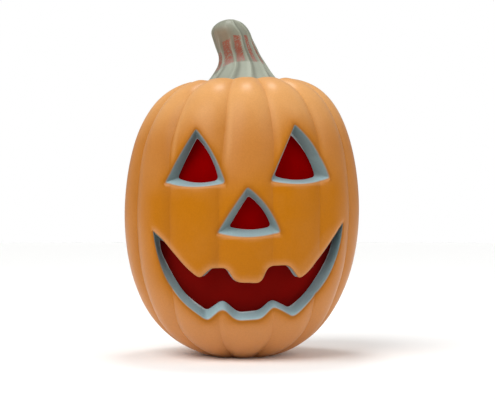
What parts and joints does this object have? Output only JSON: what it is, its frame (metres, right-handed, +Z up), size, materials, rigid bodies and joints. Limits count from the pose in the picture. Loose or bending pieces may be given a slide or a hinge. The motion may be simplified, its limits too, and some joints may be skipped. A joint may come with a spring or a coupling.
{
  "type": "plastic carved pumpkin lantern",
  "caption": "Moulded plastic pumpkin lantern with a carved face, red film behind the eyes, nose and toothed grin, and a bent fluted stem.",
  "frame": {"origin": "centre of the flat foot, on the surface the lantern stands on", "axes": "+Z up through the stem, the carved face towards -Y, +X to the right as seen from the front"},
  "size_m": [0.232, 0.2345, 0.3349],
  "materials": {
    "orange_plastic": "satin",
    "green_plastic": "satin",
    "red_film": "satin"
  },
  "bodies": {
    "root": {"shell": "orange_plastic", "stem": "green_plastic", "left_eye_window": "red_film", "right_eye_window": "red_film", "nose_window": "red_film", "mouth_window": "red_film"}
  },
  "joints": []
}
